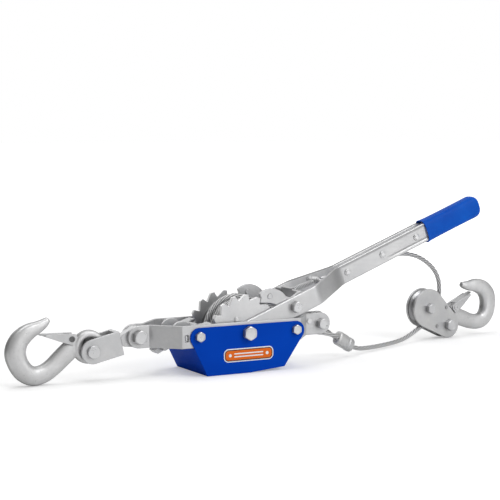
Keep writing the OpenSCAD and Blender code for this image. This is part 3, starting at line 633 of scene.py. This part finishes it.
# ------------------------------------------------------------------ hooks
hook_line = np.array([[15, 4.6], [26, -4.4], [38, -16], [48.5, -26.2], [60.5, -34],
                      [73, -36.6], [85, -31.6], [94, -20.4], [98.4, -6.6], [95.4, 6.4],
                      [88, 15.4], [79.4, 21.4], [70, 25.8], [61.8, 31], [57.6, 34.9]])
hook_wide = [10.5, 12.6, 12.6, 12, 12, 12.4, 13, 13.2, 13.6, 12.7, 11.6, 10, 7.9, 5.9, 4.2]
hook_deep = [6.2, 6.4, 6.8, 7.8, 8.8, 9.2, 9.6, 9.8, 9.8, 9.4, 8.6, 7.6, 6.6, 5.6, 4.4]


def forged_hook(name, node, eye_r, hole_r, half, bowl, to_world):
    """A forged hook: flat sided superellipse rings swept along the bowl, a rounded ring for
    the eye and a lug for the latch, melted together by a fine remesh and evened out. half is
    half the eye's thickness, bowl moves the bowl against the eye."""
    mid, _ = spline(np.column_stack([hook_line[:, 0], 0 * hook_line[:, 0], hook_line[:, 1],
                                     hook_wide, hook_deep]), 120)
    path, wide, deep = mid[:, :3], mid[:, 3], mid[:, 4]
    t, u, w = frames(path, (0, 1, 0))
    x, z = oval(1, 1, 2.55, 44)
    p = path[:, None] + wide[:, None, None] * x[None, :, None] * u[:, None] \
        + deep[:, None, None] * z[None, :, None] * w[:, None]
    # the tip closes in a small round nose
    nose = np.linspace(0, 1, 6)[1:, None, None]
    tip = path[-1] + t[-1] * 2.2 * np.sin(nose * pi / 2) \
        + (p[-1] - path[-1])[None] * np.cos(nose * pi / 2 * 0.96)
    shell = Shell().grid(np.concatenate([p, tip]) + np.array(bowl), flip=True)
    a = np.arange(96)[:, None] * 2 * pi / 96
    ring_x, ring_y = oval((eye_r - hole_r) / 2, half, 2.9, 32)
    r = (eye_r + hole_r) / 2 + ring_x
    shell.grid(np.stack([r * np.cos(a), ring_y + 0 * a, r * np.sin(a)], 2), loop=True)
    # the lug: four squarish rings through the depth, the outer two a little smaller
    lx, lz = oval(6.2, 6.2, 3.4, 32)
    depth = np.array([-4.8, -4.4, 4.4, 4.8])[:, None]
    shrink = np.array([0.93, 1, 1, 0.93])[:, None]
    q = np.stack([shrink * lx - 1, depth + 0 * lx, shrink * lz - 4.2], 2)
    shell.grid(turned(q, 40) + np.array([26, 0, 11.0]) + np.array(bowl))
    ob = bpy.data.objects.new(name, shell.mesh(name))
    bpy.context.scene.collection.objects.link(ob)
    facing_out(ob.data)
    melt = ob.modifiers.new("melt", "REMESH")
    melt.mode, melt.voxel_size = "VOXEL", 0.8 * MM
    even = ob.modifiers.new("even", "SMOOTH")
    even.factor, even.iterations = 0.5, 8
    me = baked(ob)
    # painted shade: the light level is low on the flanks, where the surface looks away from y,
    # so they are painted darker
    normal = np.empty(len(me.vertices) * 3)
    me.vertices.foreach_get("normal", normal)
    painted_light = 0.25 + 0.75 * np.clip(np.abs(normal[1::3]) / 0.62, 0, 1) ** 1.5
    att = me.attributes.get("crown") or me.attributes.new("crown", "FLOAT", "POINT")
    att.data.foreach_set("value", painted_light.astype(np.float32))
    co = np.empty(len(me.vertices) * 3)
    me.vertices.foreach_get("co", co)
    me.vertices.foreach_set("co", to_world(co.reshape(-1, 3) / MM).ravel() * MM)
    me.update()
    facing_out(me)
    piece(name, me, forged, node, 80)


CLEVIS_PIN_X = 66.5                                 # from the anchor bolt
CLEVIS_TURN, ANCHOR_TURN, LOAD_TURN = -192.5, 12.5 + 3.45, -24.8


def anchor_world(p):
    """From the anchor hook's own frame, through the clevis's frame, to the model."""
    p = (p + [0, 0, 5.2]) * [1, 1, -1] + [2, 0, 0]
    p = turned(p, ANCHOR_TURN) + [CLEVIS_PIN_X, 0, 0]
    return turned(p, CLEVIS_TURN) + [ANCHOR_X, 0, SHAFT_Z]


def load_world(p):
    """From the load hook's own frame, through the block's frame, to the model."""
    p = turned(p + [3, 0, 0], LOAD_TURN) + [HOOK_S, BLOCK_MID, HOOK_H]
    return turned(p, BLOCK_YAW, "Z") + BLOCK_AT


forged_hook("forged_anchor_hook", "anchor_hook", eye_r=22, hole_r=12, half=7,
            bowl=(0, 0, 0), to_world=anchor_world)
forged_hook("forged_load_hook", "load_hook", eye_r=20, hole_r=10, half=6.9,
            bowl=(-3, 0, 5), to_world=load_world)

# ------------------------------------------------------------------ bolts and nuts
THREAD_PITCH = 1.5
CHAMFER = 0.577                         # rise over run of a 30 degree cone


def hex_radius(af, angle):
    """Distance from the centre to a hexagon's side at each angle, corners a little eased."""
    a = np.mod(angle, pi / 3) - pi / 6
    return np.minimum(af / 2 / np.cos(a), af / 2 / cos(pi / 6) * 0.985)


def hex_rings(af, h0, h1, both=False):
    """Rings of a hexagon prism from h0 to h1. Its top, or both its ends, are cut by a 30
    degree cone, so each ring there is the smaller of the hexagon and the cone."""
    a = np.arange(72) * 2 * pi / 72
    side = hex_radius(af, a)
    cut = af * 0.09
    levels = np.concatenate([[h0], np.linspace(h1 - cut, h1, 8)])
    cone = np.where(levels < h1 - cut, 1e3, af * 0.475 + (h1 - levels) / CHAMFER)
    r = np.minimum(side, cone[:, None])
    if both:
        low = np.linspace(h0, h0 + cut, 8)
        cone = af * 0.475 + (low - h0) / CHAMFER
        r = np.concatenate([np.minimum(side, cone[:, None]), r[1:]])
        levels = np.concatenate([low, levels[1:]])
    return a, levels, r


def rings(a, levels, r):
    """Round rings: radius r at angle a, each at its level along z."""
    return np.stack([r * np.cos(a), r * np.sin(a), levels[:, None] + 0 * r], 2)


def bolt_grid(af, head, rod_r, length, thread):
    """A bolt along +z: its head's dished outer face at -head, its shank's end at length. The
    thread is a ramp wave in z that turns with the angle. The head's side gets a lower light
    level towards its seat, painted shade where it meets the plate."""
    a, levels, r = hex_rings(af, 0, head)
    dish = np.array([0.84, 0.8, 0.4, 0.02])[:, None] * af / 2 * np.ones(len(a))
    r = np.concatenate([r, dish])[::-1]
    levels = -np.concatenate([levels, [head, head - 0.25, head - 0.3, head - 0.3]])[::-1]
    seat = len(levels)
    z = np.linspace(0, length - 1.2, max(12, int(length / 0.3)))
    wave = np.abs(np.mod(z[:, None] / THREAD_PITCH + a / (2 * pi), 1) - 0.5) * 2
    shank = rod_r - np.where(z[:, None] > length - thread,
                             0.06 * THREAD_PITCH + 0.45 * wave, 0)
    tip = np.array([0.9, 0.8, 0.02])[:, None] * rod_r * np.ones(len(a))
    r = np.concatenate([r, shank, tip])
    levels = np.concatenate([levels, z, [length - 0.4, length, length]])
    crown = np.ones(r.shape)
    # painted shade on the head's last two rings before the seat
    crown[seat - 2:seat] = np.array([[0.55], [0.2]])
    return rings(a, levels, r), crown


def nut_grid(af, h, rod_r):
    """A nut from 0 to h, chamfered at both ends, with a cone at each mouth of its thread."""
    a, levels, r = hex_rings(af, 0, h, both=True)
    hole = np.array([1.16, 1.0, 1.0, 1.16])[:, None] * rod_r * np.ones(len(a))
    mouth = rod_r * 0.14
    levels = np.concatenate([levels, [h, h - mouth, mouth, 0]])
    return rings(a, levels, np.concatenate([r, hole]))


def aim(p, centre, axis):
    """Puts a grid made along +z at centre, running along axis; its flats keep upright."""
    axis = unit(np.array(axis, float))
    side = np.cross(BZ, axis)
    return p[..., :1] * BZ + p[..., 1:2] * side + p[..., 2:] * axis + centre


def bolt(name, node, spots, af, head, rod_r, length, axis, thread=14.0):
    """Bolts at the spots (centre, way), way 1 along axis and -1 against it."""
    shell = Shell()
    points, crown = bolt_grid(af, head, rod_r, length, thread)
    for centre, way in spots:
        shell.grid(aim(points, centre, np.array(axis) * way), crown=crown)
    piece(name, shell.mesh(name), bolt_zinc, node, 28)


def nut(name, node, spots, af, h, rod_r, axis):
    """Nuts at the spots (centre, way), way 1 along axis and -1 against it."""
    shell = Shell()
    for centre, way in spots:
        shell.grid(aim(nut_grid(af, h, rod_r), centre, np.array(axis) * way), loop=True)
    piece(name, shell.mesh(name), bright, node, 28)


# sizes: across flats, head or nut height, rod radius, then a bolt's length
Y = (0, 1, 0)
ears = [(x, m) for x in (-EAR_X, EAR_X) for m in (1, -1)]
bolt("guard_bolt_set", "guard_bolts",
     [(shaft_at(x, -GUARD_Y * m, 0), m) for x, m in ears], 12, 5, 4, 14, Y, thread=8)
nut("guard_nut_set", "guard_nuts",
    [(shaft_at(x, -GUARD_NUT_Y * m, 0), -m) for x, m in ears], 12, 6.3, 4.1, Y)
bolt("shaft_bolt", "drum_shaft_bolt", [(shaft_at(0, -GUARD_Y, 0), 1)], 17, 7.5, 6, 106, Y)
nut("shaft_nut", "drum_shaft_nut", [(shaft_at(0, GUARD_Y, 0), 1)], 17, 10, 6.1, Y)
bolt("anchor_end_bolt", "anchor_bolt", [(shaft_at(ANCHOR_X, -NECK_Y, 0), 1)],
     17, 8.5, 6, 35.4, Y)
nut("anchor_end_nut", "anchor_nut", [(shaft_at(ANCHOR_X, NECK_Y, 0), 1)], 17, 10, 6.1, Y)
bolt("rope_stud", "rope_end_bolt", [(shaft_at(ROPE_END_X, -NECK_Y, 0), 1)],
     13.4, 9, 5, 33.4, Y)
nut("rope_stud_nut", "rope_end_nut", [(shaft_at(ROPE_END_X, NECK_Y, 0), 1)],
    13.4, 8, 5.1, Y)
bolt("fork_bolt", "pawl_bolt", [(handle_at(82, -FORK_Y, 0), 1)], 14, 8.6, 5, 89.4, Y)
nut("fork_nut", "pawl_bolt_nut", [(handle_at(82, FORK_Y, 0), 1)], 14, 8.4, 5.1, Y)
bolt("sheave_stud", "sheave_bolt", [(block_at(SHEAVE_S, 0, SHEAVE_H), 1)],
     14, 8, 5, 30.6, BY)
nut("sheave_stud_nut", "sheave_nut", [(block_at(SHEAVE_S, BLOCK_DEPTH, SHEAVE_H), 1)],
    14, 8, 5.1, BY)
bolt("hook_stud", "hook_bolt", [(block_at(HOOK_S, 0, HOOK_H), 1)], 16, 8.5, 6, 32.6, BY)
nut("hook_stud_nut", "hook_nut", [(block_at(HOOK_S, BLOCK_DEPTH, HOOK_H), 1)],
    16, 10, 6.1, BY)

# ------------------------------------------------------------------ handle straps and grip
STRAP_HALF, STRAP_THICK = 13.5, 4.5
GRIP_MOUTH = 341                        # the straps are plain and narrower from here on


def strap(side):
    """One handle strap: a section loop swept along r. Its plan line joggles inwards between
    r 122 and 180, its front end is rounded like a washer. Beyond the joggle its upper edge
    rolls outwards a little, and a groove is stamped along its lower part."""
    r = np.concatenate([-STRAP_HALF * np.cos(np.linspace(0, pi / 2, 16)),
                        np.linspace(4, 118, 20), np.linspace(121, 184, 34),
                        np.linspace(188, 338, 60), np.linspace(340, 424, 12)])
    # soft corners: the plan line is averaged over a few millimetres
    near = r[:, None] + np.linspace(-5, 5, 11)
    mid = np.interp(near, [-14, 122, 180, 450], [37, 37, 7.3, 7.3]).mean(1)
    thick = STRAP_THICK * np.sqrt(1 + np.gradient(mid, r) ** 2)
    half = np.sqrt(np.maximum(STRAP_HALF ** 2 - np.minimum(r, 0) ** 2, 0.01))
    half = np.where(r < 0, half, STRAP_HALF)
    half = np.where(r > 335, np.interp(r, [335, GRIP_MOUTH], [STRAP_HALF, 11.8]), half)
    gone = np.clip((GRIP_MOUTH - r) / 5, 0, 1)
    top = ease(np.clip((r - 172) / 22, 0, 1) * gone)
    v = np.linspace(-1, 1, 61)
    grow = np.where(v > 0, top[:, None], 0)
    edge = ease(np.clip((np.abs(v) - 0.78) / 0.18, 0, 1))
    lip = np.clip((np.abs(v) - 0.9) / 0.1, 0, 1) ** 2
    turn_in = np.clip((np.abs(v) - 0.8) / 0.2, 0, 1) ** 2
    outer = mid[:, None] + thick[:, None] / 2 + 0.8 * grow * edge - 0.5 * lip
    inner = mid[:, None] - thick[:, None] / 2 + grow * 0.8 * turn_in + 0.5 * lip * (1 - grow)
    groove = np.exp(-((v + 0.62) / 0.1) ** 2) * (np.clip((r - 262) / 14, 0, 1) * gone)[:, None]
    outer = outer - 0.9 * groove
    # painted shade in the groove, under the upper edge and on the bend
    under = np.exp(-((v - 0.76) / 0.11) ** 2) * top[:, None]
    bend = np.exp(-((r - 169) / 13) ** 2)[:, None]
    crown = np.clip(1 - 0.5 * groove - 0.5 * under - 0.4 * bend, 0, 1)
    inside = np.ones(crown.shape)
    # painted shade: a dark line along the rear strap's top edge, on both its faces
    if side > 0:
        crown[:, v > 0.95] = inside[:, v > 0.95] = 0.1
    n = half[:, None] * v
    loop_n = np.concatenate([n, n[:, ::-1]], 1)
    loop_y = np.concatenate([outer, inner[:, ::-1]], 1) * side
    loop_r = np.broadcast_to(r[:, None], loop_n.shape)
    return handle_at(loop_r, loop_y, loop_n), np.concatenate([crown, inside[:, ::-1]], 1)


for side, word in ((-1, "front"), (1, "rear")):
    points, painted_light = strap(side)
    shell = Shell().grid(points, crown=painted_light, flip=side < 0)
    piece("channel_strap_" + word, shell.mesh("handle_strap_" + word + "_m"),
          zinc_strap[word], "handle_strap_" + word, 42)


def grip():
    """The dipped grip: superellipse rings along r. The mouth flares and turns in over its own
    edge; the far end closes on a 13 mm corner radius in height and 9 mm in width."""
    r = np.concatenate([[345, 341, 338.6, 337.3, 337, 337.5, 339], np.linspace(341, 429, 46),
                        429 + 13 * np.sin(np.linspace(0.08, pi / 2, 16))])
    wall = np.zeros(len(r))
    wall[:7] = [2.2, 2.0, 1.7, 1.0, 0.4, 0.05, 0.0]
    flare = np.exp(-np.maximum(r - 337, 0) / 3.4)
    waist = np.sin(np.clip((r - 345) / 80, 0, 1) * pi)
    h = 16.5 + 1.0 * flare - 0.25 * waist - wall
    w = 12.0 + 1.0 * flare - 0.2 * waist - wall
    h = np.where(r > 429, 3.5 + np.sqrt(np.maximum(169 - (r - 429) ** 2, 0)), h)
    w = np.where(r > 433, 3 + np.sqrt(np.maximum(81 - (r - 433) ** 2, 0)), w)
    x, z = oval(1, 1, 3.1, 64)
    return handle_at(r[:, None], w[:, None] * x, h[:, None] * z)


piece("dipped_grip", Shell().grid(grip(), flip=True).mesh("dipped_grip"), vinyl,
      "handle_grip", 60)


# ------------------------------------------------------------------ guard
def ear(x, low, high):
    """Points round a guard ear's bolt, every 9 degrees from low up to high."""
    return [(x + EAR_R * cos(a), EAR_Z + EAR_R * sin(a))
            for a in np.radians(np.arange(low, high, 9))]


def guard_shape():
    """The guard's folded sheet: two sides and a floor as one skin, its long folds rounded by a
    bevel, then thickened inwards by Solidify."""
    top = ear(EAR_X, -34, 91) + ear(-EAR_X, 90, 209)
    low = [(-80.1, -16), (-61.5, -53.5), (2.5, -53.5), (55.2, -49.1), (78.4, -16)]
    bm = bmesh.new()
    near, far = ([bm.verts.new((x * MM, y * MM, (z + SHAFT_Z) * MM)) for x, z in top + low]
                 for y in (-GUARD_Y, GUARD_Y))
    front = bm.faces.new(near)
    bm.faces.new(far[::-1])
    for k in range(len(top), len(top) + len(low) - 1):
        bm.faces.new((near[k + 1], near[k], far[k], far[k + 1]))
    bm.normal_update()
    if front.normal.y > 0:
        bmesh.ops.reverse_faces(bm, faces=bm.faces)
    folds = [e for e in bm.edges if len(e.link_faces) == 2]
    bmesh.ops.bevel(bm, geom=folds, offset=2.6 * MM, segments=5, profile=0.5,
                    affect="EDGES", clamp_overlap=True)
    me = bpy.data.meshes.new("folded_guard")
    bm.to_mesh(me)
    bm.free()
    return me


guard = piece("folded_guard", guard_shape(), paint, "guard", 50)
wall = guard.modifiers.new("sheet", "SOLIDIFY")
wall.thickness, wall.offset, wall.use_even_offset = 2 * MM, -1, True
rim_round = guard.modifiers.new("rim", "BEVEL")
rim_round.width, rim_round.segments, rim_round.angle_limit = 0.5 * MM, 2, radians(50)
guard.modifiers.new("flat_faces", "WEIGHTED_NORMAL").keep_sharp = True


def label():
    """A thin printed plate with rounded corners: rings shrink from its rim to its middle."""
    a = np.linspace(0, 2 * pi, 96, endpoint=False)
    cz, hw, hh, r = -28.5, 37.6, 9.0, 7.0
    ux = np.sign(np.cos(a)) * (hw - r) + r * np.cos(a)
    uz = np.sign(np.sin(a)) * (hh - r) + r * np.sin(a)
    k = np.array([1.0, 0.996, 0.985, 0.6, 0.02])[:, None]
    depth = np.array([-46.45, -46.66, -46.7, -46.7, -46.7])[:, None] + 0 * a
    p = np.stack([ux * k, depth, cz + uz * k], 2) + SHAFT_AT
    uv = [np.pad(part * k, ((0, 1), (0, 1)), "edge") for part in (ux, uz)]
    for part in uv:
        part[:, -1] = part[:, 0]
    return Shell().grid(p, uv=uv, flip=True)


piece("guard_label", label().mesh("guard_label"), label_print, "guard", 60,
      stands_in=False)

# ------------------------------------------------------------------ the pawl's spring
COILS, COIL_R, ROD_TRAVEL = 14, 3.3, 3.4
rod_end = np.array([90.6, 46.6])
cross_pin = np.array([146 * LEVER_COS - 7.2 * LEVER_SIN, 146 * LEVER_SIN + 7.2 * LEVER_COS])
rod_dir = unit(cross_pin - rod_end)
run = float(np.linalg.norm(cross_pin - rod_end)) - 10
RX = np.array([rod_dir[0], 0, rod_dir[1]])
RZ = np.array([-rod_dir[1], 0, rod_dir[0]])
ROD_AT = shaft_at(rod_end[0], 0, rod_end[1])


def coil_wire(radius):
    """The wire of the pawl's spring: round rings along a helix about the guide rod."""
    k = np.linspace(0, 1, COILS * 28)
    turn = (k * (2 * COILS) * pi)[:, None]
    path = ROD_AT + (COIL_R + run * k)[:, None] * RX \
        + COIL_R * (np.cos(turn) * np.array([0, 1.0, 0]) + np.sin(turn) * RZ)
    t, u, w = frames(path, RX)
    a = np.arange(12)[:, None] * 2 * pi / 12
    p = path[:, None] + radius * (np.cos(a) * u[:, None] + np.sin(a) * w[:, None])
    return Shell().grid(p, flip=True)


# the spring gets a mesh of its own; it is not shortened here as the rod slides in
spring = piece("pawl_coil", coil_wire(0.8).mesh("pawl_coil"), spring_steel, "pawl_spring",
               60)
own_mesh(spring)

# ------------------------------------------------------------------ edged CAD pieces
for node, mat, width in (
        ("frame_plate_front", zinc_long, 0.6), ("frame_plate_rear", zinc_long, 0.6),
        ("ratchet_wheel_front", flank_light_zinc, 0.45), ("ratchet_wheel_rear", flank_light_zinc, 0.45),
        ("drive_pawl", zinc, 0.5), ("holding_pawl", zinc, 0.5), ("clevis", zinc, 0.6),
        ("swivel_eye", zinc, 0.6), ("clevis_pin", bright, 0.7),
        ("block_plate_front", dark_zinc, 0.6), ("block_plate_rear", dark_zinc, 0.6),
        ("sheave", steel, 0.5), ("anchor_latch", zinc, 0.3), ("load_latch", zinc, 0.3),
        ("handle_rivets", bright, 0.5), ("neck_rivet", bright, 0.5),
        ("drum_rivets", bright, 0.35), ("pawl_rivets", zinc, 0.6),
        ("spring_cross_pin", bright, 0.5), ("block_spacers", steel, 0.3),
        ("anchor_latch_rivet", dull, 0.25), ("load_latch_rivet", bright, 0.25),
        ("holding_pawl_pin", zinc, 0.4)):
    softened(node, mat, width)

for node, mat in (
        ("drum_spool", steel), ("rope_thimble", steel), ("holding_pawl_spring", spring_steel),
        ("sheave_bush", bronze), ("handle_spacers", steel), ("spring_rod", bright),
        ("anchor_latch_spring", spring_steel), ("load_latch_spring", spring_steel)):
    data = frame["nodes"][node].data
    data.materials.clear()
    data.materials.append(mat)

# ------------------------------------------------------------------ floor and sky
REACH, DROP = 30, -0.0004               # the floor's half size and its height, in metres
me = bpy.data.meshes.new("floor")
me.from_pydata([(x * REACH, y * REACH, DROP) for x, y in ((-1, -1), (1, -1), (1, 1), (-1, 1))],
               [], [(0, 1, 2, 3)])
floor = bpy.data.objects.new("floor", me)
bpy.context.scene.collection.objects.link(floor)
mat = bpy.data.materials.new("floor")
mat.use_nodes = True
tree = mat.node_tree
tree.nodes.remove(tree.nodes["Principled BSDF"])
# the floor shows the shadow, and glows white to the camera further from the object
seen = add(tree, "ShaderNodeLightPath", out="Is Camera Ray")
soft = add(tree, "ShaderNodeBsdfDiffuse", {}, {"Color": grey(0.82)})
span = add(tree, "ShaderNodeVectorMath", {"operation": "LENGTH"}, [place(tree)], out=1)
glow = add(tree, "ShaderNodeEmission", {}, {
    "Color": grey(1.0), "Strength": seen * spread(tree, span, 0.5, 1.8, 0.32, 1.0)})
both = add(tree, "ShaderNodeAddShader", {}, [soft, glow])
tree.links.new(both.socket, tree.nodes["Material Output"].inputs[0])
me.materials.append(mat)

world = bpy.data.worlds.new("studio")
bpy.context.scene.world = world
world.use_nodes = True
tree = world.node_tree
tree.nodes.clear()
# white to the camera; a dome that dims to the west, the far east and below lights the metal
east, _, height = split(tree, add(tree, "ShaderNodeTexCoord", out="Generated"))
side = spread(tree, east, -0.55, 0.4, 0.3, 1.0) * spread(tree, east, 0.6, 0.95, 1.0, 0.45)
dome = spread(tree, height, -0.2, 0.9, 0.7, 1.0) * side
seen = add(tree, "ShaderNodeLightPath", out="Is Camera Ray").math(
    "MAXIMUM", add(tree, "ShaderNodeLightPath", out="Is Transmission Ray"))
level = dome * 0.75 * (1.0 - seen) + seen
sky = add(tree, "ShaderNodeBackground", {}, {"Color": grey(1.0), "Strength": level})
tree.links.new(sky.socket, tree.nodes.new("ShaderNodeOutputWorld").inputs[0])
